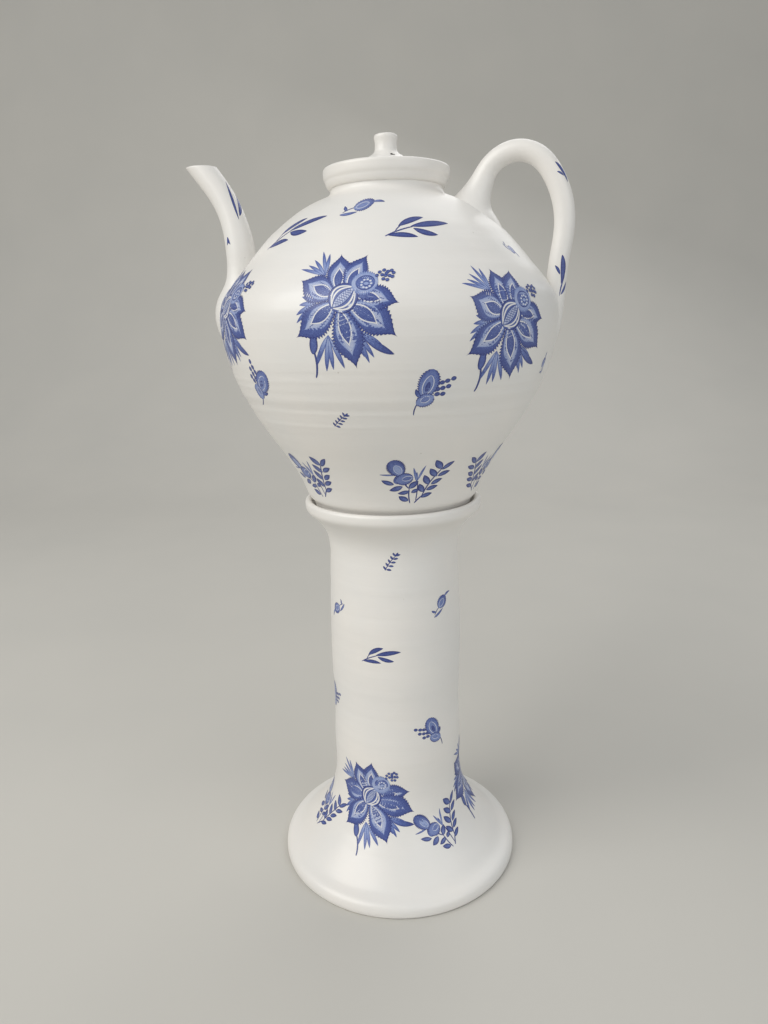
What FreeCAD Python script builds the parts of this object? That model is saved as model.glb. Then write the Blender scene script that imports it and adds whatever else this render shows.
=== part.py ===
import FreeCAD, Part
import math
import os
import Sketcher

"""A tall round teapot that stands loose in the cup of its own pedestal.

Every piece is a clay part as the potter made it: thrown or cast by itself, then luted on.
The origin is the centre of the pedestal's underside, +Z up, the handle on +X, the spout on -X.
Lengths are in millimetres.  The sheet holds the driving dimensions.
"""

os.makedirs("parts", exist_ok=True)
doc = FreeCAD.newDocument("teapot")
sheet = doc.addObject("Spreadsheet::Sheet", "sizes")

DIMENSIONS = {
    # Pedestal
    "foot_radius": 148.5,
    "foot_taper": 1.5,
    "foot_band": 11.0,
    "foot_edge": 6.0,
    "flare_inset": 14.5,
    "flare_lip": 2.0,
    "flare_curve": 126.0,
    "flare_height": 118.0,
    "column_radius": 78.5,
    "column_taper": 1.5,
    "column_height": 296.0,
    "column_joint": 202.0,
    "pedestal_wall": 9.0,
    "cup_radius": 103.0,
    "cup_height": 50.0,
    "cup_cove": 33.0,
    "cup_cove_curve": 38.0,
    "cup_band": 10.0,
    "cup_band_step": 3.0,
    "cup_wall": 8.5,
    "cup_depth": 16.0,
    "cup_floor": 8.0,
    # Teapot
    "seat_clearance": 1.5,
    "pot_wall": 7.0,
    "pot_foot_width": 10.0,
    "pot_foot_recess": 4.0,
    "heel_rise": 20.0,
    "heel_inset": 6.0,
    "hip_rise": 97.0,
    "hip_inset": 44.5,
    "bowl_curve": 270.0,
    "joint_rise": 142.0,
    "joint_inset": 17.5,
    "hip_curve": 200.0,
    "belly_radius": 184.5,
    "belly_rise": 217.0,
    "belly_curve": 172.0,
    "turn_rise": 15.0,
    "turn_inset": 3.6,
    "turn_curve": 33.0,
    "shoulder_rise": 128.0,
    "shoulder_curve": 262.0,
    "neck_wall": 10.0,
    "mouth_radius": 50.0,
    "collar_waist": 3.4,
    "collar_notch": 9.0,
    "collar_flare": 8.0,
    "collar_height": 25.0,
    "collar_wall": 6.5,
    "ledge_height": 11.0,
    "strainer_hole": 9.0,
    "strainer_spacing": 15.0,
    # Lid
    "lid_clearance": 2.0,
    "lid_edge": 8.0,
    "lid_round": 2.0,
    "lid_dome": 17.0,
    "lid_wall": 6.0,
    "lid_curve": 60.0,
    "flange_clearance": 2.5,
    "flange_wall": 5.5,
    "flange_depth": 14.0,
    "vent_radius": 2.0,
    "vent_offset": 21.0,
    "knob_root": 17.0,
    "knob_foot": 1.0,
    "knob_margin": 0.5,
    "knob_waist": 11.4,
    "knob_top": 12.9,
    "knob_height": 23.0,
    # Spout and handle
    "spout_wall": 5.0,
    "spout_height": 170.0,
    "handle_thickness": 21.0,
}

for row, (alias, value) in enumerate(DIMENSIONS.items(), start=1):
    sheet.set(f"A{row}", alias)
    sheet.set(f"B{row}", str(value))
    sheet.setAlias(f"B{row}", alias)
doc.recompute()


class Size:
    """A length as its sheet expression and its present value, so that sketches start near their solution."""

    def __init__(self, text, value):
        self.text = text
        self.value = value

    def joined(self, sign, other, value):
        return Size(f"({self.text} {sign} {as_size(other).text})", value)

    def __add__(self, other):
        return self.joined("+", other, self.value + as_size(other).value)

    def __sub__(self, other):
        return self.joined("-", other, self.value - as_size(other).value)

    def __mul__(self, other):
        return self.joined("*", other, self.value * as_size(other).value)


def as_size(number):
    if isinstance(number, Size):
        return number
    return Size(str(number), number)


def size(alias):
    return Size(f"sizes.{alias}", DIMENSIONS[alias])


def new_body(name):
    body = doc.addObject("PartDesign::Body", name)
    body.Label = name
    return body


def new_sketch(body, name, role):
    """A sketch on the body's own origin plane of that role."""
    sketch = body.newObject("Sketcher::SketchObject", name)
    plane = [item for item in body.Origin.OriginFeatures if item.Role == role][0]
    sketch.AttachmentSupport = [(plane, "")]
    sketch.MapMode = "FlatFace"
    return sketch


def bind_length(sketch, constraint, length):
    """Add one dimension to the sketch and drive it from the sheet."""
    index = sketch.addConstraint(constraint)
    sketch.setExpression(f"Constraints[{index}]", length.text)


def arc_between(start, end, radius):
    """The shorter arc between two points. A positive radius curves to the right of the way along it."""
    middle = (start + end) * 0.5
    chord = end - start
    right = FreeCAD.Vector(chord.y, -chord.x, 0).normalize()
    half = chord.Length / 2
    to_centre = math.sqrt(radius * radius - half * half)
    side = math.copysign(1.0, radius)
    top = middle + right * side * (abs(radius) - to_centre)
    return Part.Arc(start, top, end)


def draw_outline(sketch, corners):
    """Close the outline through the corners.

    Each corner is (radius, height, curve): curve is None where the side that leaves the corner is
    straight, or the radius of its arc. The arc bulges to the right of the way along the outline, or to
    the left where the curve comes from hollow().
    """
    points = [FreeCAD.Vector(as_size(r).value, as_size(z).value, 0) for r, z, _ in corners]
    ends = []
    for number, (_, _, curve) in enumerate(corners):
        start = points[number]
        end = points[(number + 1) % len(points)]
        if curve is None:
            sketch.addGeometry(Part.LineSegment(start, end), False)
        else:
            sketch.addGeometry(arc_between(start, end, curve.value), False)
        ends.append(side_ends(sketch, number, start))
    for number in range(len(corners)):
        following = (number + 1) % len(corners)
        last = ends[number][1]
        first = ends[following][0]
        sketch.addConstraint(Sketcher.Constraint("Coincident", number, last, following, first))
    for number, (radius, height, curve) in enumerate(corners):
        place_point(sketch, number, ends[number][0], as_size(radius), as_size(height))
        if curve is not None:
            bend = Size(f"abs({curve.text})", abs(curve.value))
            bind_length(sketch, Sketcher.Constraint("Radius", number, bend.value), bend)


def hollow(curve):
    """The same curve, bulging to the left of the way along the outline."""
    return curve * -1


def side_ends(sketch, number, start):
    """(first, last) end numbers of a side, as the outline runs through it: a sketch may turn an arc round."""
    if sketch.getPoint(number, 1).distanceToPoint(start) < 1e-6:
        return (1, 2)
    return (2, 1)


def place_point(sketch, number, position, radius, height):
    """Hold one end of a side at its radius and height, measured from the origin."""
    if radius.value == 0:
        sketch.addConstraint(Sketcher.Constraint("PointOnObject", number, position, -2))
    else:
        bind_length(
            sketch, Sketcher.Constraint("DistanceX", -1, 1, number, position, radius.value), radius
        )
    if height.value == 0:
        sketch.addConstraint(Sketcher.Constraint("PointOnObject", number, position, -1))
    else:
        bind_length(
            sketch, Sketcher.Constraint("DistanceY", -1, 1, number, position, height.value), height
        )


def turned_piece(name, corners):
    """A body of revolution about Z, from a closed outline of (radius, height, curve) corners."""
    body = new_body(name)
    sketch = new_sketch(body, name + "_outline", "XZ_Plane")
    draw_outline(sketch, corners)
    turned = body.newObject("PartDesign::Revolution", name + "_turned")
    turned.Profile = sketch
    turned.ReferenceAxis = (sketch, ["V_Axis"])
    turned.Angle = 360.0
    doc.recompute()
    return body


# Heights that several pieces share.
flare_top = size("flare_height")
column_split = flare_top + size("column_joint")
column_top = flare_top + size("column_height")
cup_rim = column_top + size("cup_height")
seat = cup_rim - size("cup_depth")
hip_height = seat + size("hip_rise")
joint_height = seat + size("joint_rise")
belly_height = seat + size("belly_rise")
turn_height = belly_height + size("turn_rise")
neck_height = belly_height + size("shoulder_rise")
ledge = neck_height + size("ledge_height")
collar_top = neck_height + size("collar_height")
lid_crown = ledge + size("lid_edge") + size("lid_dome")

# Radii that several pieces share.
column_bore = size("column_radius") - size("pedestal_wall")
column_top_radius = size("column_radius") - size("column_taper")
column_top_bore = column_top_radius - size("pedestal_wall")
cup_bore = size("cup_radius") - size("cup_wall")
heel_radius = cup_bore - size("seat_clearance")
pot_foot_radius = heel_radius - size("pot_foot_width")
hip_radius = size("belly_radius") - size("hip_inset")
joint_radius = size("belly_radius") - size("joint_inset")
turn_radius = size("belly_radius") - size("turn_inset")
neck_radius = size("mouth_radius") + size("neck_wall")
collar_lip = neck_radius + size("collar_flare")
collar_bore = collar_lip - size("collar_wall")
lid_radius = collar_bore - size("lid_clearance")


def pedestal_foot():
    """The wide foot: an upright band, a rounded edge and a hollow flare up to the column."""
    wall = size("pedestal_wall")
    band_radius = size("foot_radius") - size("foot_taper")
    edge_radius = band_radius - size("foot_edge")
    edge_height = size("foot_band") + size("foot_edge")
    flare_radius = size("foot_radius") - size("flare_inset")
    return turned_piece(
        "pedestal_foot",
        [
            (size("foot_radius"), 0, None),
            (band_radius, size("foot_band"), size("foot_edge") * 1.1),
            (edge_radius, edge_height, None),
            (flare_radius, edge_height + size("flare_lip"), hollow(size("flare_curve"))),
            (size("column_radius"), flare_top, None),
            (column_bore, flare_top, size("flare_curve") + wall),
            (flare_radius - wall, size("foot_band"), None),
            (flare_radius - wall, 0, None),
        ],
    )


def pedestal_column_lower():
    """The thrown tube that stands on the foot."""
    return turned_piece(
        "pedestal_column_lower",
        [
            (size("column_radius"), flare_top, None),
            (size("column_radius"), column_split, None),
            (column_bore, column_split, None),
            (column_bore, flare_top, None),
        ],
    )


def pedestal_column_upper():
    """The shorter thrown tube above it, a little slimmer towards the cup."""
    return turned_piece(
        "pedestal_column_upper",
        [
            (size("column_radius"), column_split, None),
            (column_top_radius, column_top, None),
            (column_top_bore, column_top, None),
            (column_bore, column_split, None),
        ],
    )


def pedestal_cup():
    """The cup that the teapot stands in: a cove, a banded rim and a closed floor."""
    cove_height = column_top + size("cup_cove")
    band_height = cup_rim - size("cup_band")
    cove_radius = size("cup_radius") - size("cup_band_step")
    lip = size("cup_wall") * 0.5
    floor_radius = cup_bore - size("cup_depth") * 0.6
    return turned_piece(
        "pedestal_cup",
        [
            (column_top_radius, column_top, hollow(size("cup_cove_curve"))),
            (cove_radius, cove_height, None),
            (size("cup_radius"), band_height, None),
            (size("cup_radius"), cup_rim - lip * 0.8, lip),
            (size("cup_radius") - lip, cup_rim, lip),
            (cup_bore, cup_rim - lip * 0.8, None),
            (cup_bore, seat + size("cup_depth") * 0.6, hollow(size("cup_depth") * 0.8)),
            (floor_radius, seat, None),
            (0, seat, None),
            (0, seat - size("cup_floor"), None),
            (column_top_bore, seat - size("cup_floor"), None),
            (column_top_bore, column_top, None),
        ],
    )


def bowl_outside():
    """The outline of the bowl from its heel up to the joint."""
    return [
        (heel_radius, seat + size("cup_depth"), None),
        (heel_radius + size("heel_inset"), seat + size("heel_rise"), hollow(size("bowl_curve"))),
        (hip_radius, hip_height, size("hip_curve")),
    ]


def shoulder_outside():
    """The outline from the joint over the belly and the shoulder to the neck."""
    return [
        (joint_radius, joint_height, size("belly_curve")),
        (size("belly_radius"), belly_height, size("turn_curve")),
        (turn_radius, turn_height, size("shoulder_curve")),
    ]


def body_lower():
    """The teapot's bowl, with a turned foot ring that rests on the cup's floor."""
    wall = size("pot_wall")
    ring = pot_foot_radius - size("pot_foot_width")
    inside_floor = seat + size("pot_foot_recess") + wall
    return turned_piece(
        "body_lower",
        [
            (pot_foot_radius, seat, size("pot_foot_width") * 1.6),
            *bowl_outside(),
            (joint_radius, joint_height, None),
            (joint_radius - wall, joint_height, hollow(size("hip_curve") - wall)),
            (hip_radius - wall, hip_height + wall * 0.5, size("bowl_curve") + wall),
            (heel_radius - wall * 0.3, seat + size("heel_rise") + wall, hollow(wall * 3)),
            (ring, inside_floor, None),
            (0, inside_floor, None),
            (0, seat + size("pot_foot_recess"), None),
            (ring, seat + size("pot_foot_recess"), None),
            (ring, seat, None),
        ],
    )


def body_upper():
    """The teapot's belly and shoulder, open at the neck and pierced behind the spout."""
    wall = size("pot_wall")
    body = turned_piece(
        "body_upper",
        [
            *shoulder_outside(),
            (neck_radius, neck_height, None),
            (size("mouth_radius"), neck_height, None),
            (size("mouth_radius"), neck_height - wall * 0.9, hollow(size("shoulder_curve") - wall)),
            (turn_radius - wall, turn_height - wall * 0.5, hollow(size("turn_curve") - wall)),
            (size("belly_radius") - wall, belly_height, hollow(size("belly_curve") - wall)),
            (joint_radius - wall, joint_height, None),
        ],
    )
    sketch = new_sketch(body, "strainer_outline", "YZ_Plane")
    draw_strainer(sketch)
    holes = body.newObject("PartDesign::Pocket", "strainer_holes")
    holes.Profile = sketch
    holes.Type = "ThroughAll"
    doc.recompute()
    return body


def draw_strainer(sketch):
    """One hole with six around it, on the spout's side."""
    centre_height = turn_height + size("strainer_spacing")
    sine = math.sin(math.radians(60))
    rows = [(0, 0)]
    rows += [(math.cos(math.radians(turn)), math.sin(math.radians(turn))) for turn in range(0, 360, 60)]
    for number, (across, up) in enumerate(rows):
        side = size("strainer_spacing") * across
        height = centre_height + size("strainer_spacing") * up
        centre = FreeCAD.Vector(side.value, height.value, 0)
        radius = size("strainer_hole") * 0.5
        sketch.addGeometry(Part.Circle(centre, FreeCAD.Vector(0, 0, 1), radius.value), False)
        bind_length(sketch, Sketcher.Constraint("Radius", number, radius.value), radius)
        place_point(sketch, number, 3, side, height)


def neck_collar():
    """The gallery ring on the neck: a notch, a flared lip and a ledge inside for the lid."""
    waist = neck_radius + size("collar_waist")
    edge = size("collar_wall") * 0.5
    return turned_piece(
        "neck_collar",
        [
            (neck_radius, neck_height, None),
            (waist, neck_height + size("collar_notch"), None),
            (collar_lip, collar_top - edge, edge),
            (collar_lip - edge, collar_top, edge),
            (collar_bore, collar_top - edge, None),
            (collar_bore, ledge, None),
            (size("mouth_radius"), ledge, None),
            (size("mouth_radius"), neck_height, None),
        ],
    )


# Which way the steam hole lies from the knob, in degrees about Z from the handle.
VENT_TURN = -57.0


def lid():
    """The domed lid, hollow below, with a small steam hole beside the knob."""
    landing_radius = size("knob_root") + size("knob_margin")
    inside_curve = size("lid_curve") - size("lid_wall")
    rim_inside = lid_radius - size("lid_clearance") - size("flange_wall") - size("lid_edge")
    body = turned_piece(
        "lid",
        [
            (lid_radius, ledge, None),
            (lid_radius, ledge + size("lid_edge") - size("lid_round"), size("lid_round") * 1.5),
            (lid_radius - size("lid_round"), ledge + size("lid_edge"), size("lid_curve")),
            (landing_radius, lid_crown, None),
            (0, lid_crown, None),
            (0, lid_crown - size("lid_wall"), None),
            (landing_radius * 0.6, lid_crown - size("lid_wall"), hollow(inside_curve)),
            (rim_inside, ledge, None),
        ],
    )
    sketch = new_sketch(body, "vent_outline", "XY_Plane")
    turn = math.radians(VENT_TURN)
    across = size("vent_offset") * math.cos(turn)
    along = size("vent_offset") * math.sin(turn)
    centre = FreeCAD.Vector(across.value, along.value, 0)
    radius = size("vent_radius")
    sketch.addGeometry(Part.Circle(centre, FreeCAD.Vector(0, 0, 1), radius.value), False)
    bind_length(sketch, Sketcher.Constraint("Radius", 0, radius.value), radius)
    place_point(sketch, 0, 3, across, along)
    vent = body.newObject("PartDesign::Pocket", "vent_hole")
    vent.Profile = sketch
    vent.Type = "ThroughAll"
    vent.Reversed = True
    doc.recompute()
    return body


def lid_flange():
    """The locating ring under the lid, which drops into the mouth."""
    flange_radius = size("mouth_radius") - size("flange_clearance")
    flange_bore = flange_radius - size("flange_wall")
    return turned_piece(
        "lid_flange",
        [
            (flange_radius, ledge - size("flange_depth"), None),
            (flange_radius, ledge, None),
            (flange_bore, ledge, None),
            (flange_bore, ledge - size("flange_depth"), None),
        ],
    )


def lid_knob():
    """The small mushroom knob: a spread root, a waist and a rounded head."""
    head_height = lid_crown + size("knob_height") * 0.7
    top = lid_crown + size("knob_height")
    return turned_piece(
        "lid_knob",
        [
            (size("knob_root"), lid_crown, None),
            (size("knob_root"), lid_crown + size("knob_foot"), hollow(size("knob_root"))),
            (size("knob_waist"), lid_crown + size("knob_height") * 0.38, None),
            (size("knob_top"), head_height, size("knob_height") * 0.35),
            (size("knob_top") * 0.6, top, None),
            (0, top, None),
            (0, lid_crown, None),
        ],
    )


def pot_envelope():
    """The solid that fills the teapot's outside, used to cut what is luted on to its surface."""
    envelope = turned_piece(
        "pot_envelope",
        [
            *bowl_outside(),
            *shoulder_outside(),
            (neck_radius, neck_height, None),
            (0, neck_height, None),
            (0, seat + size("cup_depth"), None),
        ],
    )
    return envelope


def station_sketch(body, name, out, rise, lean, radius):
    """A circle square to the way of a spout or handle: out from the axis, at a height, leaning by degrees."""
    sketch = new_sketch(body, name, "XY_Plane")
    turn = FreeCAD.Rotation(FreeCAD.Vector(0, 1, 0), lean)
    sketch.AttachmentOffset = FreeCAD.Placement(FreeCAD.Vector(out.value, 0, rise.value), turn)
    sketch.setExpression("AttachmentOffset.Base.x", out.text)
    sketch.setExpression("AttachmentOffset.Base.z", rise.text)
    centre = FreeCAD.Vector(0, 0, 0)
    sketch.addGeometry(Part.Circle(centre, FreeCAD.Vector(0, 0, 1), radius.value), False)
    sketch.addConstraint(Sketcher.Constraint("Coincident", 0, 3, -1, 1))
    bind_length(sketch, Sketcher.Constraint("Radius", 0, radius.value), radius)
    return sketch


def lofted_body(name, stations):
    """A body lofted through circles; each station is (out, rise, lean, radius)."""
    body = new_body(name)
    sketches = [
        station_sketch(body, f"{name}_station_{number}", out, rise, lean, radius)
        for number, (out, rise, lean, radius) in enumerate(stations)
    ]
    loft = body.newObject("PartDesign::AdditiveLoft", name + "_loft")
    loft.Profile = sketches[0]
    loft.Sections = sketches[1:]
    loft.Ruled = True
    doc.recompute()
    return body


def cut(name, base, tool):
    result = doc.addObject("Part::Cut", name)
    result.Base = base
    result.Tool = tool
    doc.recompute()
    return result


# The spout's stations from its root inside the bowl to beyond its tip: how far each centre is out from
# the belly, its height above the belly, the way's slope in degrees and the outside radius.
SPOUT_STATIONS = [
    (-56, -3, 30, 54),
    (-18, 18, 38, 48),
    (-8.5, 33, 52, 41),
    (-6, 51, 72, 25),
    (-8.5, 77, 88, 19),
    (-5.5, 103, 80, 16.5),
    (7.5, 135, 64, 15.5),
    (24, 161, 56, 14.5),
    (40, 184, 54, 14.2),
]


# The side of the block that trims the spout level; it only has to reach past the tip.
TRIM_SIDE = 400


def spout_stations(inset):
    """The spout's stations on the -X side, with the radii made smaller by the inset."""
    shapes = []
    for out, rise, slope, radius in SPOUT_STATIONS:
        reach = size("belly_radius") + out
        height = belly_height + rise
        shapes.append((reach * -1, height, slope - 90, as_size(radius) - inset))
    return shapes


def spout():
    """The hollow spout, cut square across at its tip and luted over the strainer holes."""
    outside = lofted_body("spout_outside", spout_stations(0))
    channel = lofted_body("spout_channel", spout_stations(size("spout_wall")))
    above = doc.addObject("Part::Box", "spout_trim")
    above.Length = TRIM_SIDE
    above.Width = TRIM_SIDE
    above.Height = TRIM_SIDE
    above.Placement.Base = FreeCAD.Vector(-TRIM_SIDE, -TRIM_SIDE / 2, 0)
    above.setExpression("Placement.Base.z", (belly_height + size("spout_height")).text)
    tube = cut("spout_tube", outside, channel)
    trimmed = cut("spout_trimmed", tube, above)
    return cut("spout", trimmed, pot_envelope())


# The handle's stations from the shoulder over the top and down to the tail, in the same terms.
HANDLE_STATIONS = [
    (-96, 92, 84, 34),
    (-93, 104, 84, 25),
    (-89, 119, 80, 15),
    (-83, 134, 68, 11.5),
    (-76, 146.5, 50, 10.5),
    (-62, 157.5, 24, 10.5),
    (-47, 161, 0, 10.5),
    (-26, 154, -31, 10.5),
    (-10.5, 135, -54, 10.5),
    (0, 106.5, -74, 10.5),
    (1.5, 86, -90, 10.3),
    (-3, 51, -99, 10.2),
    (-5, 25, -93, 10.2),
    (-6, 0, -90, 10),
    (-9, -25, -97, 9),
    (-17, -48, -106, 6),
]

# The thickness that the radii above belong to, and the span from neck to belly that the distances belong to.
HANDLE_DRAWN_THICKNESS = 21.0
HANDLE_DRAWN_SPAN = 124.5


def handle():
    """The looped handle, luted to the shoulder above and to the bowl below."""
    scale = size("handle_thickness") * (1 / HANDLE_DRAWN_THICKNESS)
    spread = (size("belly_radius") - neck_radius) * (1 / HANDLE_DRAWN_SPAN)
    stations = []
    for out, rise, slope, radius in HANDLE_STATIONS:
        reach = size("belly_radius") + spread * out
        stations.append((reach, belly_height + rise, 90 - slope, scale * radius))
    loop = lofted_body("handle_loop", stations)
    return cut("handle", loop, doc.getObject("pot_envelope"))


PIECES = [
    pedestal_foot,
    pedestal_column_lower,
    pedestal_column_upper,
    pedestal_cup,
    body_lower,
    body_upper,
    neck_collar,
    spout,
    handle,
    lid,
    lid_flange,
    lid_knob,
]

nodes = {}
for make in PIECES:
    piece = make()
    piece.Label = make.__name__
    nodes[make.__name__] = piece
doc.recompute()

for item in doc.Objects:
    if "Invalid" in item.State or "Error" in item.State:
        raise RuntimeError(f"{item.Name} did not compute: {item.State}")
for name, piece in nodes.items():
    if piece.Shape.isNull() or not piece.Shape.isValid():
        raise RuntimeError(f"{name} has no valid shape")
    solids = len(piece.Shape.Solids)
    if solids != 1:
        raise RuntimeError(f"{name} is {solids} solids")

for name, piece in nodes.items():
    piece.Shape.exportStep(f"parts/{name}.step")
    print(name, round(piece.Shape.Volume / 1000), "cm3")
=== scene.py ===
import math

import bpy
import numpy as np
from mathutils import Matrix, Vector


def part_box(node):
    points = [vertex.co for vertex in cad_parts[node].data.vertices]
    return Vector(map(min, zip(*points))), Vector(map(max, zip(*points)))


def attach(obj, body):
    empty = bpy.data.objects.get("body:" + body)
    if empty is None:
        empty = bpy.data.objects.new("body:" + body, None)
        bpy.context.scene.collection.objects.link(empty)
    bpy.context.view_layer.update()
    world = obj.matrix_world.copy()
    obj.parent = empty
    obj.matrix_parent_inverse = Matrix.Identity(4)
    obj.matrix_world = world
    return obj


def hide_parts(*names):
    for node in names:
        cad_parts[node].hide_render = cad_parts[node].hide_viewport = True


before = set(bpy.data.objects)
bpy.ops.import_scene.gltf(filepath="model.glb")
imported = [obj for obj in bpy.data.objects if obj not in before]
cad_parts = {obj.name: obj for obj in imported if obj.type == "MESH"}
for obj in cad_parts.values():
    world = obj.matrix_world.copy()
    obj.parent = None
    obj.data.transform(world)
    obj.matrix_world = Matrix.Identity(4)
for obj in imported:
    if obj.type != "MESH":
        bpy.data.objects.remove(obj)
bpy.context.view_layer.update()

# ---------------------------------------------------------------------------
# The pedestal.  A hollow stand of white earthenware, thrown as foot, two tubes
# and cup, luted together and covered by one glaze that hides the joins.

_, foot_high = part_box("pedestal_foot")
_, cup_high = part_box("pedestal_cup")
_, column_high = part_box("pedestal_column_lower")
foot_radius = foot_high.y
column_radius = column_high.y
cup_radius = cup_high.y
cup_rim = cup_high.z


def smooth_run(knots, count):
    """Points along the natural cubic spline through the knots, with the distance between knots as its
    parameter.  The second derivatives come from the usual tridiagonal system."""
    knots = np.array(knots, float)
    steps = np.hypot(*np.diff(knots, axis=0).T)
    places = np.concatenate([[0.0], np.cumsum(steps)])
    size = len(knots)
    system = np.eye(size)
    inner = np.arange(1, size - 1)
    system[inner, inner - 1] = steps[:-1]
    system[inner, inner] = 2 * (steps[:-1] + steps[1:])
    system[inner, inner + 1] = steps[1:]
    slopes = np.diff(knots, axis=0) / steps[:, None]
    right = np.zeros_like(knots)
    right[1:-1] = 6 * np.diff(slopes, axis=0)
    bends = np.linalg.solve(system, right)
    along = np.linspace(0, places[-1], count)
    span = np.clip(np.searchsorted(places, along, side="right") - 1, 0, size - 2)
    width = steps[span][:, None]
    before = (along - places[span])[:, None]
    after = width - before
    return (
        (bends[span] * after**3 + bends[span + 1] * before**3) / (6 * width)
        + (knots[span] / width - bends[span] * width / 6) * after
        + (knots[span + 1] / width - bends[span + 1] * width / 6) * before
    )


def widened(base, knots):
    """Knots whose radii are counted from a base radius, as (radius, height)."""
    return [(base + out, height) for out, height in knots]


def straight_run(start, end, count):
    """Evenly spaced points on the straight line between two (radius, height) points."""
    return np.linspace(start, end, count)


def round_run(centre, radius, start, end, count):
    """Points on an arc about a (radius, height) centre, between two angles in degrees."""
    turn = np.radians(np.linspace(start, end, count))
    return np.column_stack([centre[0] + radius * np.cos(turn), centre[1] + radius * np.sin(turn)])


def joined(*runs):
    """The runs end to end, without the points that they share."""
    parts = [runs[0]] + [run[1:] for run in runs[1:]]
    return np.vstack(parts)


class Turned:
    """A clay surface thrown on the wheel: an outline carried round Z.

    The radius at a turn and a distance along the outline is the outline's own radius, plus the low
    ridges that fingers leave, plus a slight oval that leans round the pot as it rises, plus rings.
    A ring is (height, spread, depth, phase): a bell curve in height that wanders up and down by a
    millimetre and swells and fades round the pot.  Right is the sign that a growing turn has on the
    surface seen from outside.  Probe is how far each way the outline's slope is taken over.
    """

    right = 1
    probe = 5e-4

    def __init__(self, outline, ridge_height, oval, ridges_from=0.0, ridges_to=1e9, rings=()):
        self.outline = np.array(outline)
        steps = np.hypot(*np.diff(self.outline, axis=0).T)
        self.along = np.concatenate([[0.0], np.cumsum(steps)])
        self.ridge_height = ridge_height
        self.oval = oval
        self.ridged = (ridges_from, ridges_to)
        self.rings = rings

    def at(self, turn, along, lift=0.0):
        """Points on the surface, moved outwards along its normal by the lift."""
        radius = np.interp(along, self.along, self.outline[:, 0])
        height = np.interp(along, self.along, self.outline[:, 1])
        ahead_radius = np.interp(along + self.probe, self.along, self.outline[:, 0])
        ahead_height = np.interp(along + self.probe, self.along, self.outline[:, 1])
        back_radius = np.interp(along - self.probe, self.along, self.outline[:, 0])
        back_height = np.interp(along - self.probe, self.along, self.outline[:, 1])
        run_radius = ahead_radius - back_radius
        run_height = ahead_height - back_height
        run = np.hypot(run_radius, run_height) + 1e-12
        fade = np.clip((height - self.ridged[0]) / 0.01, 0, 1)
        fade = fade * np.clip((self.ridged[1] - height) / 0.01, 0, 1)
        waves = np.sin(2 * np.pi * height / 0.0213 + 0.6 * np.sin(turn))
        waves = waves + 0.6 * np.sin(2 * np.pi * height / 0.0127 + 1.3)
        lean = np.sin(2 * turn + 9 * height) + 0.5 * np.sin(3 * turn - 14 * height)
        out = (self.ridge_height * waves + self.oval * lean) * fade + lift
        for level, spread, depth, phase in self.rings:
            wander = height - level + 0.0010 * np.sin(2 * turn + phase)
            swell = 0.55 + 0.45 * np.sin(3 * turn + 2.1 * phase)
            out = out + depth * swell * fade * np.exp(-((wander / spread) ** 2))
        radius = radius + out * run_height / run
        height = height - out * run_radius / run
        return np.stack([radius * np.cos(turn), radius * np.sin(turn), height], axis=-1)

    def radius_at(self, along):
        """The outline's own radius at a distance along it."""
        return np.interp(along, self.along, self.outline[:, 0])

    def along_at_height(self, height):
        """The distance along the outline at which its outside first reaches a height."""
        first = int(np.argmax(self.outline[:, 1] >= height))
        return self.along[first]


def add_piece(name, points, faces, body, nodes=()):
    """A mesh object from a list of points and faces, smooth, riding on a CAD body."""
    mesh = bpy.data.meshes.new(name)
    mesh.from_pydata(points.tolist(), [], faces)
    mesh.polygons.foreach_set("use_smooth", [True] * len(mesh.polygons))
    mesh.update()
    piece = bpy.data.objects.new(name, mesh)
    bpy.context.scene.collection.objects.link(piece)
    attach(piece, body)
    if nodes:
        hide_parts(*nodes)
    return piece


def grid_faces(rows, columns, closed):
    """Quads between the rows of a grid, as an array of corner numbers, closed round its columns or not."""
    across = columns if closed else columns - 1
    row, column = np.meshgrid(np.arange(rows - 1), np.arange(across), indexing="ij")
    following = (column + 1) % columns
    corners = [row * columns + column, row * columns + following]
    corners += [(row + 1) * columns + following, (row + 1) * columns + column]
    return np.stack(corners, axis=-1).reshape(-1, 4)


def closed_turned(name, surface, around, body, nodes):
    """The surface as one closed mesh: rings round Z, with a single point at each end on the axis."""
    turn = np.linspace(0, 2 * np.pi, around, endpoint=False)
    rings = surface.at(turn[None, :], surface.along[1:-1, None])
    rows = len(rings)
    poles = np.array([[0, 0, surface.outline[0, 1]], [0, 0, surface.outline[-1, 1]]])
    points = np.vstack([rings.reshape(-1, 3), poles])
    quads = grid_faces(rows, around, True)
    column = np.arange(around)
    following = (column + 1) % around
    first = np.column_stack([following, column, np.full(around, rows * around)])
    top = (rows - 1) * around
    last = np.column_stack([top + column, top + following, np.full(around, rows * around + 1)])
    return add_piece(name, points, quads.tolist() + first.tolist() + last.tolist(), body, nodes)


class Socket:
    """One output of a shader node.  Arithmetic on it adds Math nodes; numbers stay as socket values."""

    def __init__(self, recipe, output):
        self.recipe = recipe
        self.output = output

    def maths(self, operation, *others):
        return self.recipe.node("ShaderNodeMath", {"operation": operation}, self, *others)

    def __add__(self, other):
        return self.maths("ADD", other)

    __radd__ = __add__

    def __sub__(self, other):
        return self.maths("SUBTRACT", other)

    def __rsub__(self, other):
        return self.recipe.node("ShaderNodeMath", {"operation": "SUBTRACT"}, other, self)

    def __mul__(self, other):
        return self.maths("MULTIPLY", other)

    def above(self, edge):
        return self.maths("GREATER_THAN", edge)

    def sine(self):
        return self.maths("SINE")

    def limited(self):
        return self.recipe.node("ShaderNodeClamp", {}, self)


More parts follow.
